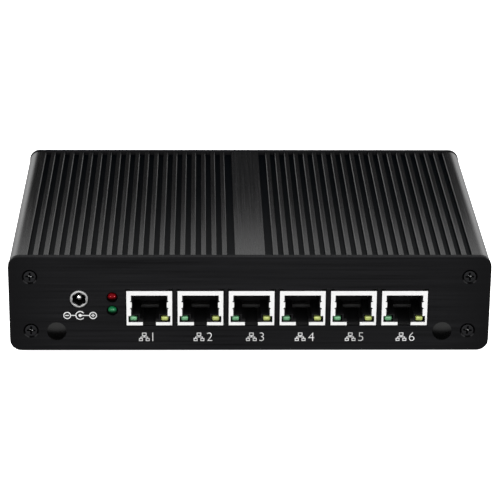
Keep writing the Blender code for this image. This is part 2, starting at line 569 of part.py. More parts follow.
# ---- rear sockets ----------------------------------------------------------------------------------------------
y_face = CASE_D + 0.3
for i, x in enumerate(USB_X):
    usb = new_object(f"usb_port_{i + 1}", box(x - USB_W / 2, x + USB_W / 2, y_face - USB_D, y_face,
                                              REAR_PORT_Z, REAR_PORT_Z + USB_H), M_TIN)
    boolean(usb, cutter(box(x - USB_W / 2 + 0.35, x + USB_W / 2 - 0.35, y_face - 11.0, y_face + 1.0,
                            REAR_PORT_Z + 0.4, REAR_PORT_Z + USB_H - 0.4), f"cut_usb_mouth_{i}"))
    boolean(usb, cutter(box(x - 5.55, x + 5.55, y_face - 11.5, y_face - 1.2,
                            REAR_PORT_Z + 3.2, REAR_PORT_Z + 4.95), f"usb_tongue_{i}"), "UNION")


def hdmi_outline(inset):
    w, h, z = HDMI_W / 2 - inset, HDMI_H - inset, REAR_PORT_Z + inset
    return [(HDMI_X - w + 2.2, z), (HDMI_X + w - 2.2, z), (HDMI_X + w, z + 2.0 - inset * 0.4),
            (HDMI_X + w, REAR_PORT_Z + h), (HDMI_X - w, REAR_PORT_Z + h), (HDMI_X - w, z + 2.0 - inset * 0.4)]


hdmi = new_object("hdmi_port", prism_y(hdmi_outline(0.0), y_face - HDMI_D, y_face), M_TIN)
boolean(hdmi, cutter(prism_y(hdmi_outline(0.35), y_face - 8.0, y_face + 1.0), "cut_hdmi_mouth"))
boolean(hdmi, cutter(box(HDMI_X - 6.0, HDMI_X + 6.0, y_face - 8.5, y_face - 1.0,
                         REAR_PORT_Z + 2.3, REAR_PORT_Z + 3.6), "hdmi_tongue"), "UNION")

# ---- power button ------------------------------------------------------------------------------------------------
# A threaded metal bezel in the rear panel, a sprung cap that slides in it, and the switch plunger behind the cap.
yb = CASE_D + REAR_PROUD
bezel_profile = [(BUTTON_BEZEL_R, CASE_D + GAP), (BUTTON_BEZEL_R, yb - 0.35), (BUTTON_BEZEL_R - 0.35, yb),
                 (BUTTON_CAP_R + 0.6, yb), (BUTTON_CAP_R + GAP, yb - 0.3), (BUTTON_CAP_R + GAP, CASE_D - 10.6),
                 (1.5, CASE_D - 10.6), (1.5, CASE_D - 12.4), (BUTTON_NECK_R, CASE_D - 12.4),
                 (BUTTON_NECK_R, CASE_D + GAP)]
new_object("power_button_bezel", lathe_y(bezel_profile, BUTTON_X, BUTTON_Z, 24), M_NICKEL, smooth=30)
cap_profile = [(0.0, yb - 0.35), (2.2, yb - 0.3), (BUTTON_CAP_R - 0.35, yb - 0.1), (BUTTON_CAP_R, yb - 0.4),
               (BUTTON_CAP_R, CASE_D - 8.6), (0.0, CASE_D - 8.6)]
new_object("power_button_cap", lathe_y(cap_profile, BUTTON_X, BUTTON_Z, 24), M_NICKEL,
           origin=(BUTTON_X, CASE_D, BUTTON_Z), smooth=30)
new_object("power_switch_plunger", lathe_y([(0.0, CASE_D - 8.9), (1.2, CASE_D - 8.9), (1.2, CASE_D - 15.0),
                                            (0.0, CASE_D - 15.0)], BUTTON_X, BUTTON_Z, 16), M_BLACK,
           origin=(BUTTON_X, CASE_D, BUTTON_Z), smooth=40)

bpy.context.view_layer.update()
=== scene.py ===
"""Looks of the fanless firewall appliance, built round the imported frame."""

import json
import math
import random

import bmesh
import bpy
from mathutils import Matrix, Vector

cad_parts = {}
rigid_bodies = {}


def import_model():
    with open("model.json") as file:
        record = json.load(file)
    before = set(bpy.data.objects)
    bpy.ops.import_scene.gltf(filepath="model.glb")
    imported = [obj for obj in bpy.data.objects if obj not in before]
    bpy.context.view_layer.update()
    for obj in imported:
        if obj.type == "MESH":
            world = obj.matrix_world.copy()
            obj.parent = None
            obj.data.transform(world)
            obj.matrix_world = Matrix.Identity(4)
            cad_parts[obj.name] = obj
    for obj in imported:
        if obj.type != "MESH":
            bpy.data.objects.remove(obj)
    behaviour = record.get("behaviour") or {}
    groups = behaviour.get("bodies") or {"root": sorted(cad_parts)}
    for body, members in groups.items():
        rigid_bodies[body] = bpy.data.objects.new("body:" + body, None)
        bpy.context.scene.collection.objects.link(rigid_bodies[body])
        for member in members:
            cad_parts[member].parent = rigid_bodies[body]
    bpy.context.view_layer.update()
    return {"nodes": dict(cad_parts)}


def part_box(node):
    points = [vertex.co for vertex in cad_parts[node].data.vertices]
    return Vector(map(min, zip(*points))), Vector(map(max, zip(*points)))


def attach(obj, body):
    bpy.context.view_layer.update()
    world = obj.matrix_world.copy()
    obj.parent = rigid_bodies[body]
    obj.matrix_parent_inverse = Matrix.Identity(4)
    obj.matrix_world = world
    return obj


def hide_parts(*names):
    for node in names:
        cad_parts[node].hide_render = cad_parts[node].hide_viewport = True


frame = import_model()
MM = 0.001
FRONT_LIGHT = 2.2
NODES = frame["nodes"]
scene = bpy.context.scene
scene.view_settings.view_transform = "Standard"
scene.view_settings.look = "None"
random.seed(7)

panel_lo, panel_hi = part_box("front_panel")
rear_lo, rear_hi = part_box("rear_panel")
shell_lo, shell_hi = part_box("heatsink_shell")
Y_FACE = panel_lo.y            # the front panel's outer face
Y_BACK = rear_hi.y             # the rear panel's outer face
Z_CASE = panel_lo.z            # underside of the case
TOP = shell_hi.z


# ---- node helpers ----------------------------------------------------------------------------------------
class Mat:
    """A Principled material and the few procedural patterns that feed it."""

    def __init__(self, name, base, rough, metallic=0.0, spec=0.5, coat=0.0, coat_rough=0.1, emission=None,
                 strength=0.0, aniso=0.0):
        self.m = bpy.data.materials.new(name)
        self.m.use_nodes = True
        self.nt = self.m.node_tree
        self.b = self.nt.nodes["Principled BSDF"]
        self.b.inputs["Base Color"].default_value = (*base, 1.0)
        self.b.inputs["Roughness"].default_value = rough
        self.b.inputs["Metallic"].default_value = metallic
        self.b.inputs["Specular IOR Level"].default_value = spec
        self.b.inputs["Coat Weight"].default_value = coat
        self.b.inputs["Coat Roughness"].default_value = coat_rough
        self.b.inputs["Anisotropic"].default_value = aniso
        if emission:
            self.b.inputs["Emission Color"].default_value = (*emission, 1.0)
            self.b.inputs["Emission Strength"].default_value = strength
        self.m.diffuse_color = (*base, 1.0)
        self.coord = self.nt.nodes.new("ShaderNodeTexCoord")
        self.height = None

    def new(self, kind, **sets):
        n = self.nt.nodes.new(kind)
        for k, v in sets.items():
            setattr(n, k, v)
        return n

    def link(self, a, b):
        self.nt.links.new(a, b)

    def noise(self, scale, stretch=(1.0, 1.0, 1.0), detail=3.0, rough=0.55, offset=(0.0, 0.0, 0.0)):
        """Noise in object metres: scale is in cells per metre, stretch squeezes it along an axis."""
        mp = self.new("ShaderNodeMapping")
        mp.inputs["Scale"].default_value = stretch
        mp.inputs["Location"].default_value = offset
        self.link(self.coord.outputs["Object"], mp.inputs["Vector"])
        n = self.new("ShaderNodeTexNoise")
        n.inputs["Scale"].default_value = scale
        n.inputs["Detail"].default_value = detail
        n.inputs["Roughness"].default_value = rough
        self.link(mp.outputs["Vector"], n.inputs["Vector"])
        return n.outputs["Fac"]

    def ramp(self, fac, stops):
        r = self.new("ShaderNodeValToRGB")
        el = r.color_ramp.elements
        while len(el) < len(stops):
            el.new(0.5)
        for e, (pos, col) in zip(el, stops):
            e.position = pos
            e.color = (*col, 1.0) if len(col) == 3 else col
        self.link(fac, r.inputs["Fac"])
        return r.outputs["Color"]

    def remap(self, fac, lo_in, hi_in, lo_out, hi_out):
        r = self.new("ShaderNodeMapRange")
        r.inputs["From Min"].default_value = lo_in
        r.inputs["From Max"].default_value = hi_in
        r.inputs["To Min"].default_value = lo_out
        r.inputs["To Max"].default_value = hi_out
        self.link(fac, r.inputs["Value"])
        return r.outputs["Result"]

    def mix(self, a, b, fac, blend="MIX"):
        m = self.new("ShaderNodeMix", data_type="RGBA", blend_type=blend)
        for sock, v in ((m.inputs[6], a), (m.inputs[7], b), (m.inputs[0], fac)):
            if isinstance(v, bpy.types.NodeSocket):
                self.link(v, sock)
            elif isinstance(v, (int, float)):
                sock.default_value = v
            else:
                sock.default_value = (*v, 1.0)
        return m.outputs[2]

    def colour(self, socket):
        self.link(socket, self.b.inputs["Base Color"])
        return self

    def rough(self, socket):
        self.link(socket, self.b.inputs["Roughness"])
        return self

    def bump(self, socket, distance, strength=1.0):
        """Adds one layer of relief; distance is its depth in metres."""
        n = self.new("ShaderNodeBump")
        n.inputs["Strength"].default_value = strength
        n.inputs["Distance"].default_value = distance
        self.link(socket, n.inputs["Height"])
        if self.height is not None:
            self.link(self.height, n.inputs["Normal"])
        self.height = n.outputs["Normal"]
        self.link(self.height, self.b.inputs["Normal"])
        return self


def brushed_black(name, along, base, rough, spec, contrast=0.35, metallic=0.0, fine=2400.0, ends=1.0, front=None):
    """Black anodised aluminium with fine lines along one axis; ends paints shade towards the left and right ends,
    front paints a highlight towards the front.
    """
    m = Mat(name, base, rough, metallic, spec)
    if along == "X":
        s1, s2 = (0.012, 1.0, 1.0), (0.03, 1.0, 1.0)
    else:
        s1, s2 = (1.0, 0.012, 1.0), (1.0, 0.03, 1.0)
    lines = m.noise(fine, s1, detail=4.0, rough=0.65)
    streaks = m.noise(fine * 0.22, s2, detail=2.0, offset=(3.1, 1.7, 0.4))
    cloud = m.noise(28.0, detail=3.0, offset=(7.0, 2.0, 5.0))
    low = tuple(c * (1 - contrast) for c in base)
    high = tuple(c * (1 + contrast) for c in base)
    a = m.ramp(lines, [(0.3, low), (0.7, high)])
    b = m.ramp(streaks, [(0.3, tuple(c * 0.85 for c in base)), (0.72, tuple(c * 1.2 for c in base))])
    c = m.mix(a, b, 0.4)
    c2 = m.mix(c, tuple(c * 1.15 for c in base), m.remap(cloud, 0.35, 0.7, 0.0, 0.5))
    # painted highlight: the colour lightens to front towards the front face, fading out 5 mm in front of the middle
    if front:
        s = m.new("ShaderNodeSeparateXYZ")
        m.link(m.coord.outputs["Object"], s.inputs[0])
        c2 = m.mix(c2, front, m.remap(s.outputs["Y"], -0.005, Y_FACE, 0.0, 1.0))
    # painted shade: towards the left and right ends (|x| from 68 to 83 mm) the colour darkens to ends times the base
    if ends != 1.0:
        s = m.new("ShaderNodeSeparateXYZ")
        m.link(m.coord.outputs["Object"], s.inputs[0])
        far = m.new("ShaderNodeMath", operation="ABSOLUTE")
        m.link(s.outputs["X"], far.inputs[0])
        c2 = m.mix(c2, tuple(c * ends for c in base), m.remap(far.outputs[0], 0.068, 0.083, 0.0, 0.85))
    m.colour(c2)
    m.rough(m.remap(lines, 0.25, 0.75, rough - 0.05, rough + 0.07))
    m.bump(lines, 0.000004, 0.5)
    m.bump(streaks, 0.000006, 0.4)
    return m.m


def moulded(name, base, rough, spec=0.4, grain=5200.0, depth=0.000012):
    """Moulded plastic with a fine spark-eroded grain and a faint variation of gloss."""
    m = Mat(name, base, rough, 0.0, spec)
    g = m.noise(grain, detail=3.0, rough=0.6)
    cloud = m.noise(220.0, detail=2.0)
    m.colour(m.mix(tuple(c * 0.8 for c in base), tuple(c * 1.25 for c in base), m.remap(cloud, 0.3, 0.7, 0.0, 1.0)))
    m.rough(m.remap(g, 0.3, 0.7, rough - 0.06, rough + 0.08))
    m.bump(g, depth, 0.6)
    return m.m


def plated(name, base, rough, streak=(1.0, 1.0, 1.0), scale=900.0, metallic=1.0, dull=0.85):
    """Bright plated sheet with faint rolling streaks and dull patches."""
    m = Mat(name, base, rough, metallic, 0.5)
    s = m.noise(scale, streak, detail=4.0, rough=0.6)
    cloud = m.noise(160.0, detail=3.0, offset=(1.0, 4.0, 2.0))
    m.colour(m.mix(tuple(c * dull for c in base), base, m.remap(cloud, 0.3, 0.65, 0.0, 1.0)))
    m.rough(m.remap(s, 0.3, 0.7, rough - 0.05, rough + 0.1))
    m.bump(s, 0.000003, 0.5)
    return m.m


def lens(name, base, rough=0.1, spec=0.5, domed=None):
    """Tinted epoxy: a saturated body that varies a little in depth of colour, under a smooth skin; domed, when given,
    multiplies in painted shading by which way the surface faces.
    """
    m = Mat(name, base, rough, 0.0, spec)
    cloud = m.noise(900.0, detail=2.0)
    body = m.mix(tuple(c * 0.75 for c in base), tuple(min(1.0, c * 1.2) for c in base),
                 m.remap(cloud, 0.3, 0.7, 0.0, 1.0))
    if domed:
        # painted shading: the colour is scaled by a ramp over the normal's height, so faces turned up are lighter and
        # faces turned down darker
        g = m.new("ShaderNodeNewGeometry")
        s = m.new("ShaderNodeSeparateXYZ")
        m.link(g.outputs["Normal"], s.inputs[0])
        shade = m.ramp(m.remap(s.outputs["Z"], -1.0, 1.0, 0.0, 1.0),
                       [(at, (v, v, v)) for at, v in domed])
        body = m.mix(body, shade, 1.0, "MULTIPLY")
    m.colour(body)
    m.bump(cloud, 0.000004, 0.3)
    return m.m


LENS_PAINTED_SHADING = ((0.28, 0.015), (0.44, 0.12), (0.55, 0.5), (0.68, 1.4), (0.9, 1.0))      # painted shading for a round lens: near-black facing down, lightest facing up
PIPE_PAINTED_SHADING = ((0.1, 0.4), (0.5, 0.85), (0.7, 1.1), (0.9, 0.85))                        # painted shading for a jack's lamp: darker facing down, lightest facing up


def skirted(name, dark, bright, rough, y_at):
    """Sheet metal painted dark as shade up to y_at, about two millimetres behind the panel's face, and plain tin
    beyond.
    """
    m = Mat(name, bright, rough, 0.0, 0.06)
    s = m.new("ShaderNodeSeparateXYZ")
    m.link(m.coord.outputs["Object"], s.inputs[0])
    grain = m.noise(900.0, detail=3.0)
    tin = m.mix(tuple(c * 0.9 for c in bright), bright, m.remap(grain, 0.3, 0.7, 0.0, 1.0))
    m.colour(m.mix(dark, tin, m.remap(s.outputs["Y"], y_at, y_at + 0.0002, 0.0, 1.0)))
    m.bump(grain, 0.000003, 0.5)
    return m.m


# ---- materials ---------------------------------------------------------------------------------------------
# ends=0.66: painted shade darkening the panel's left and right ends
PANEL = brushed_black("panel_black", "X", (0.0069, 0.0069, 0.0075), 0.42, 0.05, contrast=0.85, fine=1500.0,
                      ends=0.66)
# painted highlight for the lower-left and lower-right sectors of the screw countersinks
SEAT_PAINTED_HIGHLIGHT = brushed_black("seat_painted_highlight", "X", (0.013, 0.013, 0.0135), 0.4, 0.06, contrast=0.3)
PANEL_EDGE = brushed_black("panel_edge_black", "X", (0.006, 0.006, 0.0065), 0.5, 0.02, contrast=0.5)
SHELL = brushed_black("shell_black", "Y", (0.004, 0.004, 0.0042), 0.28, 0.16, contrast=0.4)
SHELL_TOP = brushed_black("fin_top_black", "Y", (0.0022, 0.0022, 0.0023), 0.23, 0.158, contrast=0.6, fine=1700.0)
SHELL_STRIP = brushed_black("strip_black", "Y", (0.0026, 0.0026, 0.0028), 0.24, 0.185, contrast=0.8, fine=1500.0)
# the fin bevels: a darker, less glossy copy of the fin-top black, with a painted highlight brightening towards the
# front
SHELL_BEVEL = brushed_black("fin_bevel_painted_highlight", "Y", (0.0014, 0.0014, 0.0015), 0.3, 0.06, contrast=0.5, fine=1700.0,
                            front=(0.0122, 0.0122, 0.0122))
# painted shade: the groove walls and floors get a far darker copy of the shell's black, standing in for the shade
# between the fins
SHELL_GROOVE = brushed_black("groove_painted_shade", "Y", (0.0005, 0.0008, 0.0012), 0.3, 0.013, contrast=0.3)
COVER = moulded("cover_black", (0.01, 0.01, 0.0105), 0.55, 0.2, grain=2600.0, depth=0.00003)
SCREW = plated("screw_black", (0.011, 0.011, 0.012), 0.42, scale=1500.0, metallic=0.0)
SCREW.node_tree.nodes["Principled BSDF"].inputs["Specular IOR Level"].default_value = 0.12
# near-black painted shade for the countersinks, the screws' cross recesses and the cone under their heads
RECESS_PAINTED_SHADE = plated("screw_recess_painted_shade", (0.0012, 0.0012, 0.0013), 0.6, scale=1500.0, metallic=0.0)
RECESS_PAINTED_SHADE.node_tree.nodes["Principled BSDF"].inputs["Specular IOR Level"].default_value = 0.02
# pale steel for a few faces at the bottom of the screws' cross: a painted glint
GLINT_PATCH = plated("screw_painted_glint", (0.55, 0.55, 0.55), 0.3, scale=3000.0, metallic=0.3)
ZINC = plated("screw_zinc", (0.62, 0.62, 0.6), 0.3)
TIN = plated("port_tin", (0.745, 0.745, 0.74), 0.36, streak=(0.25, 0.25, 1.0), metallic=0.1, dull=0.97)
TIN_SHADE = skirted("port_tin_painted_shade", (0.015, 0.015, 0.015), (0.6, 0.6, 0.595), 0.5, Y_FACE + 0.0022)
SLEEVE = plated("sleeve_satin", (0.36, 0.36, 0.36), 0.38, metallic=0.55)
PIN = plated("pin_satin", (0.75, 0.75, 0.74), 0.18, metallic=0.95)
NICKEL = plated("nickel_satin", (0.72, 0.72, 0.71), 0.24)
INSERT = moulded("port_black", (0.0035, 0.0035, 0.0038), 0.5, 0.15)
PLUG = moulded("plug_gloss", (0.001, 0.001, 0.001), 0.24, 0.2, grain=1500.0, depth=0.000001)
RUBBER = moulded("foot_rubber_black", (0.012, 0.012, 0.012), 0.8, 0.3, grain=3000.0, depth=0.00002)
RED = lens("lens_red", (0.082, 0.0014, 0.0028), spec=0.06, rough=0.08, domed=LENS_PAINTED_SHADING)
RED.node_tree.nodes["Principled BSDF"].inputs["Specular Tint"].default_value = (1.0, 0.22, 0.24, 1.0)
GREEN = lens("lens_green", (0.004, 0.080, 0.027), spec=0.08, rough=0.08, domed=LENS_PAINTED_SHADING)
PORT_GREEN = lens("lamp_green", (0.115, 0.31, 0.155), rough=0.25, spec=0.6, domed=PIPE_PAINTED_SHADING)
PORT_YELLOW = lens("lamp_yellow", (0.38, 0.44, 0.12), rough=0.25, spec=0.6, domed=PIPE_PAINTED_SHADING)
RAIL = moulded("port_black_rail", (0.012, 0.012, 0.012), 0.5, 0.3)
GOLD = plated("contact_gold", (0.83, 0.6, 0.25), 0.25)
INK = moulded("label_ink_pale", (0.56, 0.56, 0.56), 0.6, 0.2, grain=9000.0, depth=0.000002)
BOARD = moulded("solder_mask", (0.012, 0.07, 0.035), 0.4, 0.5, grain=1800.0, depth=0.00002)
CHIP = moulded("chip_black", (0.02, 0.02, 0.022), 0.5, 0.4)
ALU = plated("machined_aluminium", (0.7, 0.7, 0.71), 0.3, streak=(0.05, 1.0, 1.0))


# ---- carried-over CAD nodes ---------------------------------------------------------------------------------
def paint(obj, mat):
    obj.data.materials.clear()
    obj.data.materials.append(mat)
    obj.data.polygons.foreach_set("material_index", [0] * len(obj.data.polygons))
    obj.data.update()


def dress(node, mat, bevel=0.0, angle=32.0, segments=2, split=32.0):
    """Gives a CAD node its material and clean shading, and rounds its sharp edges, with modifiers only."""
    obj = NODES[node]
    paint(obj, mat)
    weld = obj.modifiers.new("weld", "WELD")
    weld.merge_threshold = 0.000001
    if bevel:
        dec = obj.modifiers.new("flat", "DECIMATE")
        dec.decimate_type = "DISSOLVE"
        dec.angle_limit = math.radians(0.5)
        bev = obj.modifiers.new("edge", "BEVEL")
        bev.width = bevel
        bev.segments = segments
        bev.limit_method = "ANGLE"
        bev.angle_limit = math.radians(angle)
        bev.use_clamp_overlap = True
    obj.data.shade_smooth()
    cut = obj.modifiers.new("sharp", "EDGE_SPLIT")
    cut.split_angle = math.radians(split)
    return obj


for n in ("front_panel", "rear_panel"):
    panel = dress(n, PANEL)
    panel.data.materials.append(PANEL_EDGE)
    for p in panel.data.polygons:
        if p.normal.z > 0.9 and p.center.z > TOP - 0.003:
            p.material_index = 1
    panel.data.materials.append(RECESS_PAINTED_SHADE)
    panel.data.materials.append(SEAT_PAINTED_HIGHLIGHT)
    seats = [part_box(f"{n.split('_')[0]}_screw_{i}") for i in range(1, 5)]
    # painted light round the screws: the countersink faces get the near-black painted shade, the lower-left and
    # lower-right sectors the lighter painted highlight
    for p in panel.data.polygons:
        for sa, sb in seats:
            dx, dz = p.center.x - (sa.x + sb.x) / 2, p.center.z - (sa.z + sb.z) / 2
            if math.hypot(dx, dz) < 0.0029 and abs(p.normal.y) < 0.95:
                turn_deg = math.degrees(math.atan2(dz, dx))
                p.material_index = 3 if (-68 < turn_deg < -26 or -154 < turn_deg < -112) else 2
shell = dress("heatsink_shell", SHELL)
shell.data.materials.append(SHELL_TOP)
shell.data.materials.append(SHELL_GROOVE)
shell.data.materials.append(SHELL_BEVEL)
shell.data.materials.append(SHELL_STRIP)
for p in shell.data.polygons:
    c, n = p.center, p.normal
    if abs(c.x) < 0.0800 and c.z > TOP - 0.0017 and abs(n.y) < 0.5:
        if abs(c.x) < 0.0053 and n.z > 0.95 and c.z > TOP - 0.0001:
            p.material_index = 4
        elif n.z > 0.95 and c.z > TOP - 0.0001:
            p.material_index = 1
        elif n.z > 0.5 and c.z > TOP - 0.0004:
            p.material_index = 3
        else:
            # groove walls and floors: painted shade
            p.material_index = 2
    elif c.z > TOP - 0.0001:
        p.material_index = 1
dress("bottom_cover", COVER)
for n in NODES:
    if n.startswith(("front_screw", "rear_screw", "bottom_screw")):
        dress(n, SCREW)
    elif n.startswith("board_screw"):
        dress(n, ZINC)
    elif n.startswith("foot_"):
        dress(n, RUBBER)
    elif n.endswith("_shield"):
        can = dress(n, TIN)
        can.data.materials.append(TIN_SHADE)
        # painted shade: the can's outer faces, the floor in the latch notch and the lip's front edge take the
        # dark-banded material
        ca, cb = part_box(n)
        for p in can.data.polygons:
            c = p.center
            outside = (c.x < ca.x + 0.00005 or c.x > cb.x - 0.00005 or c.z < ca.z + 0.00005 or c.z > cb.z - 0.00005)
            floor_in = p.normal.z > 0.9 and c.z < ca.z + 0.0005
            edge_in = p.normal.y < -0.9 and c.y > ca.y + 0.0005 and c.z < ca.z + 0.0004
            if (abs(p.normal.y) < 0.5 and (outside or floor_in)) or edge_in:
                p.material_index = 1
    elif n.startswith(("usb_", "hdmi_")):
        # the tongue in the middle of the mouth is moulded, the can round it is sheet metal
        can = dress(n, TIN)
        can.data.materials.append(INSERT)
        ca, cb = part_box(n)
        z0, z1, half = (3.2, 4.95, 5.55) if n.startswith("usb_") else (2.3, 3.6, 6.0)
        for p in can.data.polygons:
            c = p.center
            if (abs(c.x - (ca.x + cb.x) / 2) < (half + 0.05) * MM and c.z > ca.z + (z0 - 0.05) * MM
                    and c.z < ca.z + (z1 + 0.05) * MM and cb.y - 0.0118 < c.y < cb.y - 0.0009):
                p.material_index = 1
    elif n.endswith("_insert") or n in ("dc_jack_body", "status_led_holder", "memory_socket", "drive_socket",
                                        "power_switch_plunger"):
        dress(n, INSERT)
    elif n == "dc_jack_sleeve":
        dress(n, SLEEVE, split=28.0)
    elif n in ("dc_jack_pin", "power_button_bezel", "power_button_cap", "coin_cell",
               "memory_latch_front", "memory_latch_rear"):
        dress(n, NICKEL)
    elif n == "status_led_red":
        dress(n, RED)
    elif n == "status_led_green":
        dress(n, GREEN)
    elif n.startswith("antenna_plug"):
        dress(n, PLUG)
    elif n in ("motherboard", "memory_module", "drive_card"):
        card = dress(n, BOARD)
        if n != "motherboard":
            # the packages soldered on the card stand above its sheet
            card.data.materials.append(CHIP)
            levels = sorted({round(v.co.z, 5) for v in card.data.vertices})
            for p in card.data.polygons:
                if len(levels) > 2 and max(card.data.vertices[i].co.z for i in p.vertices) > levels[-2] + 0.00002:
                    p.material_index = 1
    elif n == "processor":
        dress(n, CHIP)
    elif n == "heat_block":
        dress(n, ALU)

# ---- pieces made here ----------------------------------------------------------------------------------------------
def new_piece(name, bm, mat, body="case", smooth=30.0, replaces=()):
    """Turns a bmesh in frame metres into a piece that rides on a body."""
    bmesh.ops.recalc_face_normals(bm, faces=bm.faces)
    mesh = bpy.data.meshes.new(name)
    bm.to_mesh(mesh)
    bm.free()
    mesh.shade_smooth()
    mesh.set_sharp_from_angle(angle=math.radians(smooth))
    mesh.materials.append(mat)
    obj = bpy.data.objects.new(name, mesh)
    scene.collection.objects.link(obj)
    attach(obj, body)
    if replaces:
        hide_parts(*replaces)
    return obj


def copy_piece(name, source, offset, body="case", replaces=(), turn=None):
    """Another object that shares a piece's mesh, moved by offset (after an optional turn)."""
    obj = bpy.data.objects.new(name, source.data)
    scene.collection.objects.link(obj)
    m = Matrix.Translation(offset)
    obj.matrix_world = m @ turn if turn is not None else m
    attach(obj, body)
    if replaces:
        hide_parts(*replaces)
    return obj


def lathe_y(bm, profile, cx, cz, steps=48, wave=None):
    """Turns (radius, y) points round the Y axis through (cx, cz); a closed profile starts and ends at radius 0."""
    rings = []
    for k, (r, y) in enumerate(profile):
        if r < 1e-9:
            rings.append([bm.verts.new((cx, y, cz))])
            continue
        ring = []
        for i in range(steps):
            a = 2 * math.pi * i / steps
            rr = r + (wave(a, k) if wave else 0.0)
            ring.append(bm.verts.new((cx + rr * math.cos(a), y, cz + rr * math.sin(a))))
        rings.append(ring)
    for a, b in zip(rings, rings[1:]):
        if len(a) == 1 and len(b) == 1:
            continue
        for i in range(steps):
            j = (i + 1) % steps
            if len(a) == 1:
                bm.faces.new((a[0], b[j], b[i]))
            elif len(b) == 1:
                bm.faces.new((a[i], a[j], b[0]))
            else:
                bm.faces.new((a[i], a[j], b[j], b[i]))
    return bm


def extrude_y(bm, outline, y0, y1):
    """A prism with the outline (x, z) between two planes."""
    a = [bm.verts.new((x, y0, z)) for x, z in outline]
    b = [bm.verts.new((x, y1, z)) for x, z in outline]
    bm.faces.new(a)
    bm.faces.new(b[::-1])
    n = len(outline)
    for i in range(n):
        j = (i + 1) % n
        bm.faces.new((a[i], a[j], b[j], b[i]))
    return bm


def block(bm, x0, x1, y0, y1, z0, z1):
    return extrude_y(bm, [(x0, z0), (x1, z0), (x1, z1), (x0, z1)], y0, y1)


def round_box(bm, x0, x1, y0, y1, z0, z1, r, seg=3):
    """A box with rounded edges, added to bm."""
    part = bmesh.new()
    block(part, x0, x1, y0, y1, z0, z1)
    bmesh.ops.recalc_face_normals(part, faces=part.faces)
    bmesh.ops.bevel(part, geom=part.edges[:], offset=r, segments=seg, profile=0.5, affect="EDGES")
    tmp = bpy.data.meshes.new("tmp")
    part.to_mesh(tmp)
    part.free()
    bm.from_mesh(tmp)
    bpy.data.meshes.remove(tmp)
    return bm


def mid(node):
    a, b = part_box(node)
    return (Vector(a) + Vector(b)) * 0.5


# network jacks: lamps, contact springs, the rail at the end of the latch channel
jacks = sorted(n for n in NODES if n.startswith("lan_jack_") and n.endswith("_shield"))
for k, node in enumerate(jacks, 1):
    a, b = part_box(node)
    cx, zb, yf = (a.x + b.x) / 2, a.z, a.y
    for tag, x0, x1, mat, slot in (("left", -6.94, -4.32, PORT_GREEN, "green_lamp"),
                                   ("right", 4.04, 6.74, PORT_YELLOW, "yellow_lamp")):
        bm = bmesh.new()
        xs0, xs1 = cx + x0 * MM, cx + x1 * MM
        z0, z1 = zb + 1.28 * MM, zb + 2.98 * MM
        # a light pipe: rounded lower corners, square upper ones, slightly crowned front
        out = []
        r = 0.55 * MM
        for ccx, ccz, a0 in ((xs0 + r, z0 + r, 180), (xs1 - r, z0 + r, 270)):
            for s in range(6):
                t = math.radians(a0 + 90 * s / 5)
                out.append((ccx + r * math.cos(t), ccz + r * math.sin(t)))
        r = 0.5 * MM
        for ccx, ccz, a0 in ((xs1 - r, z1 - r, 0), (xs0 + r, z1 - r, 90)):
            for s in range(4):
                t = math.radians(a0 + 90 * s / 3)
                out.append((ccx + r * math.cos(t), ccz + r * math.sin(t)))
        mx, mz = (xs0 + xs1) / 2, (z0 + z1) / 2
        rings = []
        for y, s in ((5.6, 1.0), (1.5, 1.0), (1.18, 0.95), (0.95, 0.83), (0.8, 0.64), (0.73, 0.42), (0.7, 0.2)):
            rings.append([bm.verts.new((mx + (x - mx) * s, yf + y * MM, mz + (z - mz) * s)) for x, z in out])
        n = len(out)
        for p, q in zip(rings, rings[1:]):
            for i in range(n):
                j = (i + 1) % n
                bm.faces.new((p[i], p[j], q[j], q[i]))
        bm.faces.new(rings[0])
        bm.faces.new(rings[-1][::-1])
        new_piece(f"lan_jack_{k}_lamp_{tag}", bm, mat, smooth=50)

    # eight sprung contacts: fixed at the top front, sloping back and down to the comb
    bm = bmesh.new()
    path = [(2.2, 11.05), (4.0, 10.75), (6.0, 10.1), (8.0, 9.35), (9.6, 8.75), (10.4, 8.55), (10.9, 8.62)]
    for c in range(8):
        x = cx + (c - 3.5) * 1.02 * MM
        w, h = 0.17 * MM, 0.11 * MM
        prev = None
        for y, z in path:
            ring = [bm.verts.new((x + sx * w, yf + y * MM, zb + z * MM + sz * h))
                    for sx, sz in ((-1, -1), (1, -1), (1, 1), (-1, 1))]
            if prev:
                for i in range(4):
                    j = (i + 1) % 4
                    bm.faces.new((prev[i], prev[j], ring[j], ring[i]))
            else:
                bm.faces.new(ring)
            prev = ring
        bm.faces.new(prev[::-1])
    new_piece(f"lan_jack_{k}_contacts", bm, GOLD)

    bm = bmesh.new()
    round_box(bm, cx - 3.28 * MM, cx + 3.28 * MM, yf + 10.6 * MM, yf + 13.9 * MM, zb + 2.26 * MM, zb + 3.5 * MM,
              0.15 * MM)
    new_piece(f"lan_jack_{k}_rail", bm, RAIL)

# contacts on the rear sockets' tongues
for node, count, pitch, width, drop in (("usb_port_1", 4, 2.3, 0.55, 3.2), ("usb_port_2", 4, 2.3, 0.55, 3.2),
                                        ("hdmi_port", 10, 1.0, 0.32, 2.3)):
    a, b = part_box(node)
    cx = (a.x + b.x) / 2
    bm = bmesh.new()
    for k in range(count):
        x = cx + (k - (count - 1) / 2) * pitch * MM
        round_box(bm, x - width * MM, x + width * MM, b.y - 7.4 * MM, b.y - 1.5 * MM, a.z + (drop - 0.14) * MM,
                  a.z + (drop + 0.02) * MM, 0.05 * MM, 1)
    new_piece(f"{node}_contacts", bm, GOLD)

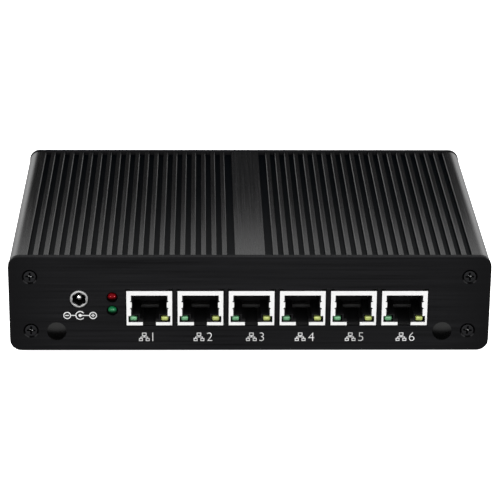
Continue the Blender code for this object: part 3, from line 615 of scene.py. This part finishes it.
# status lamps: domed 3 mm lenses with a flange, finer than the frame's
for tag, mat, slot in (("red", RED, "red_lamp"), ("green", GREEN, "green_lamp")):
    a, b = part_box(f"status_led_{tag}")
    cx, cz, r = (a.x + b.x) / 2, (a.z + b.z) / 2, (b.x - a.x) / 2 * 0.96
    dome_h = 1.55 * MM
    prof = [(0.0, a.y)]
    for s in range(1, 13):
        t = math.radians(90 - 90 * s / 12)
        prof.append((r * math.cos(t), a.y + dome_h * (1 - math.sin(t))))
    prof += [(r, b.y - 0.3 * MM), (r - 0.15 * MM, b.y), (0.0, b.y)]
    bm = lathe_y(bmesh.new(), prof, cx, cz, 48)
    new_piece(f"status_lamp_{tag}", bm, mat, smooth=40, replaces=(f"status_led_{tag}",))

# blanking plugs: low glossy caps that seat on the panel, with a neck and a snap rib behind it
for tag in ("left", "right"):
    node = f"antenna_plug_{tag}"
    a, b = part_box(node)
    cx, cz, cap = (a.x + b.x) / 2, (a.z + b.z) / 2, (b.x - a.x) / 2
    tip = a.y + 0.12 * MM
    rise = Y_FACE - 0.04 * MM - tip
    big = (cap * cap + rise * rise) / (2 * rise)
    lim = math.asin(cap / big)
    neck = 2.78 * MM
    prof = [(0.0, tip)]
    for s in range(1, 15):
        t = lim * s / 14
        prof.append((big * math.sin(t), tip + big * (1 - math.cos(t))))
    y1 = prof[-1][1]
    prof += [(cap, y1 + 0.02 * MM), (cap - 0.05 * MM, y1 + 0.035 * MM), (neck, y1 + 0.036 * MM),
             (neck, b.y - 1.6 * MM), (neck + 0.1 * MM, b.y - 1.3 * MM), (neck, b.y - 0.9 * MM),
             (neck - 0.45 * MM, b.y), (0.0, b.y)]
    bm = lathe_y(bmesh.new(), prof, cx, cz, 56)
    new_piece(f"blanking_plug_{tag}", bm, PLUG, body=f"{tag}_antenna_plug", smooth=35,
              replaces=(node,))

# power inlet: a rolled rim with six flats pressed into its mouth, dark inside
a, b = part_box("dc_jack_sleeve")
cx, cz, r = (a.x + b.x) / 2, (a.z + b.z) / 2, (b.x - a.x) / 2
yf = a.y
rim = [(r, b.y, 0.0), (r, yf + 0.42 * MM, 0.0), (r - 0.06 * MM, yf + 0.2 * MM, 0.0), (r - 0.2 * MM, yf + 0.07 * MM, 0.0),
       (r - 0.38 * MM, yf + 0.01 * MM, 0.0), (r - 0.46 * MM, yf, 0.15), (r - 0.6 * MM, yf + 0.03 * MM, 0.7),
       (r - 0.71 * MM, yf + 0.1 * MM, 1.0), (r - 0.76 * MM, yf + 0.24 * MM, 1.0), (r - 0.78 * MM, yf + 0.6 * MM, 1.0),
       (r - 0.78 * MM, b.y, 1.0)]
bm = bmesh.new()
steps = 96
rows = []
for rr, y, amp in rim:
    row = []
    for i in range(steps):
        t = 2 * math.pi * i / steps
        q = rr - amp * 0.19 * MM * math.cos(6 * t)
        row.append(bm.verts.new((cx + q * math.cos(t), y, cz + q * math.sin(t))))
    rows.append(row)
for k, (p, q) in enumerate(zip(rows, rows[1:] + rows[:1])):
    for i in range(steps):
        j = (i + 1) % steps
        f = bm.faces.new((p[i], p[j], q[j], q[i]))
        if k == 9:
            f.material_index = 1
sleeve_piece = new_piece("dc_sleeve_rim", bm, SLEEVE, smooth=45, replaces=("dc_jack_sleeve",))
sleeve_piece.data.materials.append(INSERT)

# power inlet's centre pin with a round nose
a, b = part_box("dc_jack_pin")
cx, cz, r = (a.x + b.x) / 2, (a.z + b.z) / 2, (b.x - a.x) / 2 * 1.08
prof = [(0.0, a.y)]
for s in range(1, 11):
    t = math.radians(9 * s)
    prof.append((r * math.sin(t), a.y + r * (1 - math.cos(t))))
prof += [(r, b.y), (0.0, b.y)]
new_piece("dc_centre_pin", lathe_y(bmesh.new(), prof, cx, cz, 32), PIN, smooth=40,
          replaces=("dc_jack_pin",))


# cross-head screws, one mesh: a flat head with a rounded rim, a tapered cross, a threaded shank
def screw_mesh(length):
    r_head, r_neck, r_shank = 2.08 * MM, 1.42 * MM, 1.42 * MM
    bm = bmesh.new()
    # head outline as rings of 64 points; the innermost rings follow the cross
    n = 64

    def cross_r(a, arm, half):
        """Radius of a cross outline at angle a: arms along the axes, arm long and half wide."""
        c, s = abs(math.cos(a)), abs(math.sin(a))
        big, small = max(c, s), min(c, s)
        if small < 1e-9:
            return arm
        t = min(arm / big, half / small)
        return max(t, half * 1.45)

    def ring(fn, y):
        return [bm.verts.new((fn(2 * math.pi * i / n) * math.cos(2 * math.pi * i / n), y,
                              fn(2 * math.pi * i / n) * math.sin(2 * math.pi * i / n))) for i in range(n)]

    arm, half = 1.55 * MM, 0.36 * MM
    rings = [ring(lambda a: r_head, 0.05 * MM),
             ring(lambda a: r_head - 0.03 * MM, 0.015 * MM),
             ring(lambda a: r_head - 0.12 * MM, 0.0),
             ring(lambda a: cross_r(a, arm + 0.06 * MM, half + 0.05 * MM) , 0.0),
             ring(lambda a: cross_r(a, arm, half), 0.05 * MM),
             ring(lambda a: cross_r(a, arm * 0.93, half * 0.95), 0.38 * MM),
             ring(lambda a: cross_r(a, arm * 0.6, half * 0.85), 0.6 * MM),
             ring(lambda a: cross_r(a, arm * 0.38, half * 0.62), 0.64 * MM)]
    for k, (p, q) in enumerate(zip(rings, rings[1:])):
        for i in range(n):
            j = (i + 1) % n
            f = bm.faces.new((p[i], p[j], q[j], q[i]))
            # the cross's walls and bottom take the near-black painted shade
            if k >= 4:
                f.material_index = 1
    tip = bm.verts.new((0, 0.66 * MM, 0))
    for i in range(n):
        f = bm.faces.new((rings[-1][i], rings[-1][(i + 1) % n], tip))
        f.material_index = 2 if (i % 32) in (26, 27, 28, 29, 30) else 1     # a pale steel patch at the bottom of the cross: a painted glint
    # cone under the head, painted dark as shade, then a single-start thread as a stack of turned rings
    lower = [ring(lambda a: r_neck, r_head - r_neck + 0.05 * MM)]
    y, pitch = r_head - r_neck + 0.05 * MM, 0.5 * MM
    while y + pitch < length - 0.4 * MM:
        lower.append(ring(lambda a: r_shank, y + pitch * 0.1))
        lower.append(ring(lambda a: r_shank - 0.22 * MM, y + pitch * 0.5))
        lower.append(ring(lambda a: r_shank, y + pitch * 0.9))
        y += pitch
    lower.append(ring(lambda a: r_shank - 0.4 * MM, length))
    chain = [rings[0]] + lower
    for k, (p, q) in enumerate(zip(chain, chain[1:])):
        for i in range(n):
            j = (i + 1) % n
            f = bm.faces.new((p[j], p[i], q[i], q[j]))
            f.material_index = 1 if k == 0 else 0
    bm.faces.new(chain[-1])
    return bm


screw_long = screw_short = None
SINK = -0.22 * MM
for group in ("front", "rear", "bottom"):
    for i in range(1, 5):
        node = f"{group}_screw_{i}"
        a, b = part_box(node)
        c = mid(node)
        if group == "bottom":
            turn = Matrix.Rotation(math.pi / 2, 4, "X")
            length, place = b.z - a.z, Vector((c.x, c.y, a.z + SINK))
        elif group == "rear":
            turn = Matrix.Rotation(math.pi, 4, "Z")
            length, place = b.y - a.y, Vector((c.x, b.y - SINK, c.z))
        else:
            turn = Matrix.Identity(4)
            length, place = b.y - a.y, Vector((c.x, a.y + SINK, c.z))
        twist = Matrix.Rotation(math.radians((17, 76, 44, 8, 61, 33, 85, 25, 52, 12, 70, 39)[
            ("front", "rear", "bottom").index(group) * 4 + i - 1] if group != "front" else (4, -3, 2, 7)[i - 1]), 4, "Y")
        name = f"{group}_cross_screw_{i}"
        key = "short" if group == "bottom" else "long"
        src_obj = screw_short if key == "short" else screw_long
        if src_obj is None:
            bm = screw_mesh(length)
            bmesh.ops.recalc_face_normals(bm, faces=bm.faces)
            mesh = bpy.data.meshes.new(f"cross_screw_{key}")
            bm.to_mesh(mesh)
            bm.free()
            mesh.shade_smooth()
            mesh.set_sharp_from_angle(angle=math.radians(28))
            for mm in (SCREW, RECESS_PAINTED_SHADE, GLINT_PATCH):
                mesh.materials.append(mm)

            class Holder:
                data = mesh
            src_obj = Holder
            if key == "short":
                screw_short = src_obj
            else:
                screw_long = src_obj
        copy_piece(name, src_obj, place, replaces=(node,), turn=turn @ twist)


# printed marks under the ports: generic symbols and plain numerals, in pale ink a few hundredths thick
INK_T = 0.03 * MM


def stroke(bm, pts, w, y, closed=False):
    """A flat ribbon of width w along the (x, z) points, raised by the ink's thickness."""
    n = len(pts)
    count = n if closed else n - 1
    for i in range(count):
        (x0, z0), (x1, z1) = pts[i], pts[(i + 1) % n]
        dx, dz = x1 - x0, z1 - z0
        d = math.hypot(dx, dz)
        ux, uz = dx / d, dz / d
        nx, nz = -uz * w / 2, ux * w / 2
        e = w / 2 if not closed else w * 0.35
        p = [(x0 - ux * e + nx, z0 - uz * e + nz), (x1 + ux * e + nx, z1 + uz * e + nz),
             (x1 + ux * e - nx, z1 + uz * e - nz), (x0 - ux * e - nx, z0 - uz * e - nz)]
        lift = 0.0004 * MM * i
        extrude_y(bm, p, y - INK_T - lift, y - 0.002 * MM)


def mark_box(bm, x0, x1, z0, z1, w, y):
    stroke(bm, [(x0, z0), (x1, z0), (x1, z1), (x0, z1)], w, y, closed=True)


def numeral(text, height, x, z, y):
    """A plain numeral from Blender's own font, its lower left corner at (x, z)."""
    cu = bpy.data.curves.new("numeral", "FONT")
    cu.body = text
    cu.size = 1.0
    cu.extrude = 0.0
    cu.offset = -0.02
    cu.resolution_u = 6
    ob = bpy.data.objects.new("numeral", cu)
    scene.collection.objects.link(ob)
    bpy.context.view_layer.update()
    me = bpy.data.meshes.new_from_object(ob.evaluated_get(bpy.context.evaluated_depsgraph_get()))
    bpy.data.objects.remove(ob, do_unlink=True)
    bpy.data.curves.remove(cu)
    bm = bmesh.new()
    bm.from_mesh(me)
    bpy.data.meshes.remove(me)
    bmesh.ops.remove_doubles(bm, verts=bm.verts, dist=0.0005)
    xs = [v.co.x for v in bm.verts]
    ys = [v.co.y for v in bm.verts]
    k = height / (max(ys) - min(ys))
    x_lo, y_lo = min(xs), min(ys)
    for v in bm.verts:
        v.co = Vector((x + (v.co.x - x_lo) * k, y - INK_T, z + (v.co.y - y_lo) * k))
    res = bmesh.ops.extrude_face_region(bm, geom=bm.faces[:])
    for v in [g for g in res["geom"] if isinstance(g, bmesh.types.BMVert)]:
        v.co.y = y - 0.002 * MM
    return bm, (max(xs) - x_lo) * k


def merge(bm, other):
    tmp = bpy.data.meshes.new("tmp")
    other.to_mesh(tmp)
    other.free()
    bm.from_mesh(tmp)
    bpy.data.meshes.remove(tmp)


LABEL_Z0 = Z_CASE + 3.62 * MM
LABEL_H = 3.25 * MM
label_mid = (-35.85, -16.5, 2.05, 19.35, 37.1, 55.15)
for k, node in enumerate(jacks, 1):
    cx = label_mid[k - 1] * MM
    bm = bmesh.new()
    w = 0.26 * MM
    x0 = cx - 3.35 * MM
    z0, h = LABEL_Z0, LABEL_H
    # three nodes on one bus: the usual drawing of a wired network
    mark_box(bm, x0 + 1.25 * MM, x0 + 2.55 * MM, z0 + h - 1.15 * MM, z0 + h - 0.15 * MM, w, Y_FACE)
    mark_box(bm, x0 + 0.15 * MM, x0 + 1.25 * MM, z0 + 0.15 * MM, z0 + 1.0 * MM, w, Y_FACE)
    mark_box(bm, x0 + 2.55 * MM, x0 + 3.65 * MM, z0 + 0.15 * MM, z0 + 1.0 * MM, w, Y_FACE)
    stroke(bm, [(x0 + 1.9 * MM, z0 + h - 1.3 * MM), (x0 + 1.9 * MM, z0 + 1.55 * MM)], w, Y_FACE)
    stroke(bm, [(x0 + 0.7 * MM, z0 + 1.15 * MM), (x0 + 0.7 * MM, z0 + 1.55 * MM), (x0 + 3.1 * MM, z0 + 1.55 * MM),
                (x0 + 3.1 * MM, z0 + 1.15 * MM)], w, Y_FACE)
    num, width = numeral(str(k), h, x0 + 4.75 * MM, z0, Y_FACE)
    merge(bm, num)
    new_piece(f"port_mark_{k}", bm, INK)

# the power inlet's mark: centre-positive polarity
sleeve_mid = mid("dc_jack_sleeve")
px, pz = sleeve_mid.x + 0.3 * MM, Z_CASE + 13.5 * MM
bm = bmesh.new()
w = 0.32 * MM


def circle_pts(cx, cz, r, a0=0.0, a1=360.0, n=28):
    full = abs(a1 - a0) >= 359.9
    m = n if full else n + 1
    return [(cx + r * math.cos(math.radians(a0 + (a1 - a0) * i / n)),
             cz + r * math.sin(math.radians(a0 + (a1 - a0) * i / n))) for i in range(m)]


stroke(bm, circle_pts(px - 4.55 * MM, pz, 1.2 * MM), w, Y_FACE, closed=True)
stroke(bm, [(px - 5.05 * MM, pz), (px - 4.05 * MM, pz)], w, Y_FACE)
stroke(bm, circle_pts(px + 4.55 * MM, pz, 1.2 * MM), w, Y_FACE, closed=True)
stroke(bm, [(px + 4.05 * MM, pz), (px + 5.05 * MM, pz)], w, Y_FACE)
stroke(bm, [(px + 4.55 * MM, pz - 0.5 * MM), (px + 4.55 * MM, pz + 0.5 * MM)], w, Y_FACE)
stroke(bm, circle_pts(px, pz, 1.5 * MM, 42, 318), w, Y_FACE)
stroke(bm, [(px - 3.2 * MM, pz), (px - 1.6 * MM, pz)], w, Y_FACE)
stroke(bm, [(px + 0.3 * MM, pz), (px + 3.2 * MM, pz)], w, Y_FACE)
extrude_y(bm, circle_pts(px, pz, 0.58 * MM, n=20), Y_FACE - INK_T * 1.2, Y_FACE - 0.002 * MM)
new_piece("polarity_mark", bm, INK)

# ---- camera ------------------------------------------------------------------------------------------------------
cam_data = bpy.data.cameras.new("camera")
cam_data.sensor_width = 36.0
cam_data.lens = 2287.0 / 500.0 * 36.0
cam_data.clip_start, cam_data.clip_end = 0.05, 20.0
cam = bpy.data.objects.new("camera", cam_data)
scene.collection.objects.link(cam)
pitch, turn = math.radians(90.0 - 21.66), math.radians(-1.2492)
cam.matrix_world = (Matrix.Translation((-0.01754, Y_FACE - 0.7413, Z_CASE + 0.3327))
                    @ Matrix.Rotation(pitch, 4, "X") @ Matrix.Rotation(turn, 4, "Y"))
scene.camera = cam

# ---- floor and light ---------------------------------------------------------------------------------------------
floor_mesh = bpy.data.meshes.new("floor")
bm = bmesh.new()
bmesh.ops.create_grid(bm, x_segments=1, y_segments=1, size=9.0)
bm.to_mesh(floor_mesh)
bm.free()
floor = bpy.data.objects.new("floor", floor_mesh)
scene.collection.objects.link(floor)
fm = Mat("floor_pale", (0.86, 0.86, 0.86), 0.9, 0.0, 0.1, emission=(1.0, 1.0, 1.0), strength=1.0)
floor_mesh.materials.append(fm.m)
floor.visible_diffuse = floor.visible_glossy = floor.visible_transmission = floor.visible_shadow = False

# The room: a light tent in front and above, a pale table behind, a dark table in front.
world = bpy.data.worlds.new("studio")
world.use_nodes = True
wt = world.node_tree
bg = wt.nodes["Background"]
wc = wt.nodes.new("ShaderNodeTexCoord")
ws = wt.nodes.new("ShaderNodeSeparateXYZ")
wt.links.new(wc.outputs["Generated"], ws.inputs[0])


def world_ramp(stops):
    """Radiance against height: stops are (sine of the elevation, radiance)."""
    mr = wt.nodes.new("ShaderNodeMapRange")
    mr.inputs["From Min"].default_value, mr.inputs["From Max"].default_value = -1.0, 1.0
    wt.links.new(ws.outputs["Z"], mr.inputs["Value"])
    r = wt.nodes.new("ShaderNodeValToRGB")
    el = r.color_ramp.elements
    while len(el) < len(stops):
        el.new(0.5)
    for e, (s, v) in zip(el, stops):
        e.position = (s + 1) / 2
        e.color = (v, v, v, 1.0)
    wt.links.new(mr.outputs["Result"], r.inputs["Fac"])
    return r.outputs["Color"]


front_up = world_ramp([(-1.0, 0.01), (-0.42, 0.01), (-0.32, 0.3), (-0.2, 1.2), (0.0, 1.8), (0.2, FRONT_LIGHT),
                       (1.0, FRONT_LIGHT)])
back_mid = world_ramp([(-1.0, 0.3), (-0.3, 0.7), (-0.03, 0.9), (0.0, 0.8), (0.06, 0.12), (0.2, 0.03), (0.55, 0.03),
                       (0.8, 0.8), (1.0, FRONT_LIGHT)])
back_side = world_ramp([(-1.0, 0.3), (-0.3, 0.5), (-0.03, 1.2), (0.05, 1.9), (0.14, 2.3), (0.25, 1.9),
                        (0.35, 1.0), (0.47, 0.15), (0.8, 0.8), (1.0, FRONT_LIGHT)])
wide = wt.nodes.new("ShaderNodeMath")
wide.operation = "ABSOLUTE"
wt.links.new(ws.outputs["X"], wide.inputs[0])
wide_mr = wt.nodes.new("ShaderNodeMapRange")
wide_mr.interpolation_type = "SMOOTHSTEP"
wide_mr.inputs["From Min"].default_value, wide_mr.inputs["From Max"].default_value = 0.12, 0.3
wt.links.new(wide.outputs[0], wide_mr.inputs["Value"])
mixb = wt.nodes.new("ShaderNodeMix")
mixb.data_type = "RGBA"
wt.links.new(wide_mr.outputs["Result"], mixb.inputs[0])
wt.links.new(back_mid, mixb.inputs[6])
wt.links.new(back_side, mixb.inputs[7])
back_up = mixb.outputs[2]
side = wt.nodes.new("ShaderNodeMapRange")
side.interpolation_type = "SMOOTHSTEP"
side.inputs["From Min"].default_value, side.inputs["From Max"].default_value = -0.35, 0.25
wt.links.new(ws.outputs["Y"], side.inputs["Value"])
mixw = wt.nodes.new("ShaderNodeMix")
mixw.data_type = "RGBA"
wt.links.new(side.outputs["Result"], mixw.inputs[0])
wt.links.new(front_up, mixw.inputs[6])
wt.links.new(back_up, mixw.inputs[7])
wt.links.new(mixw.outputs[2], bg.inputs["Color"])
plain = wt.nodes.new("ShaderNodeBackground")
plain.inputs["Color"].default_value = (1.0, 1.0, 1.0, 1.0)
lp = wt.nodes.new("ShaderNodeLightPath")
mixs = wt.nodes.new("ShaderNodeMixShader")
wt.links.new(lp.outputs["Is Camera Ray"], mixs.inputs[0])
wt.links.new(bg.outputs[0], mixs.inputs[1])
wt.links.new(plain.outputs[0], mixs.inputs[2])
wt.links.new(mixs.outputs[0], wt.nodes["World Output"].inputs["Surface"])
scene.world = world


def area(name, size_x, size_y, place, aim, radiance, colour=(1.0, 1.0, 1.0)):
    """A soft rectangular lamp of the given radiance."""
    data = bpy.data.lights.new(name, "AREA")
    data.shape = "RECTANGLE"
    data.size, data.size_y = size_x, size_y
    data.energy = radiance * size_x * size_y * math.pi
    data.color = colour
    obj = bpy.data.objects.new(name, data)
    scene.collection.objects.link(obj)
    obj.location = place
    obj.rotation_euler = (Vector(aim) - Vector(place)).to_track_quat("-Z", "Y").to_euler()
    obj.visible_camera = False
    return obj


area("overhead", 0.9, 0.9, (0.0, -0.1, 1.1), (0.0, 0.0, 0.0), 2.0)
area("rear_box", 0.6, 0.12, (0.0, Y_BACK + 0.05, TOP + 0.118), (0.0, Y_FACE, TOP + 0.118), 1.5)
# two small lamps make the sparks on the bright little parts only
sparks = bpy.data.collections.new("sparkling")
for n in ("status_lamp_red", "status_lamp_green", "dc_centre_pin"):
    sparks.objects.link(bpy.data.objects[n])
for tag, az in (("left", -34.0), ("right", 46.0)):
    a = math.radians(az)
    p = Vector((-0.048 + 1.2 * math.sin(a), Y_FACE - 1.2 * math.cos(a), 0.02 + 0.72))
    lamp = area(f"lamp_{tag}", 0.16, 0.16, p, (-0.048, Y_FACE, 0.02), 900.0)
    lamp.light_linking.receiver_collection = sparks
    lamp.visible_diffuse = False
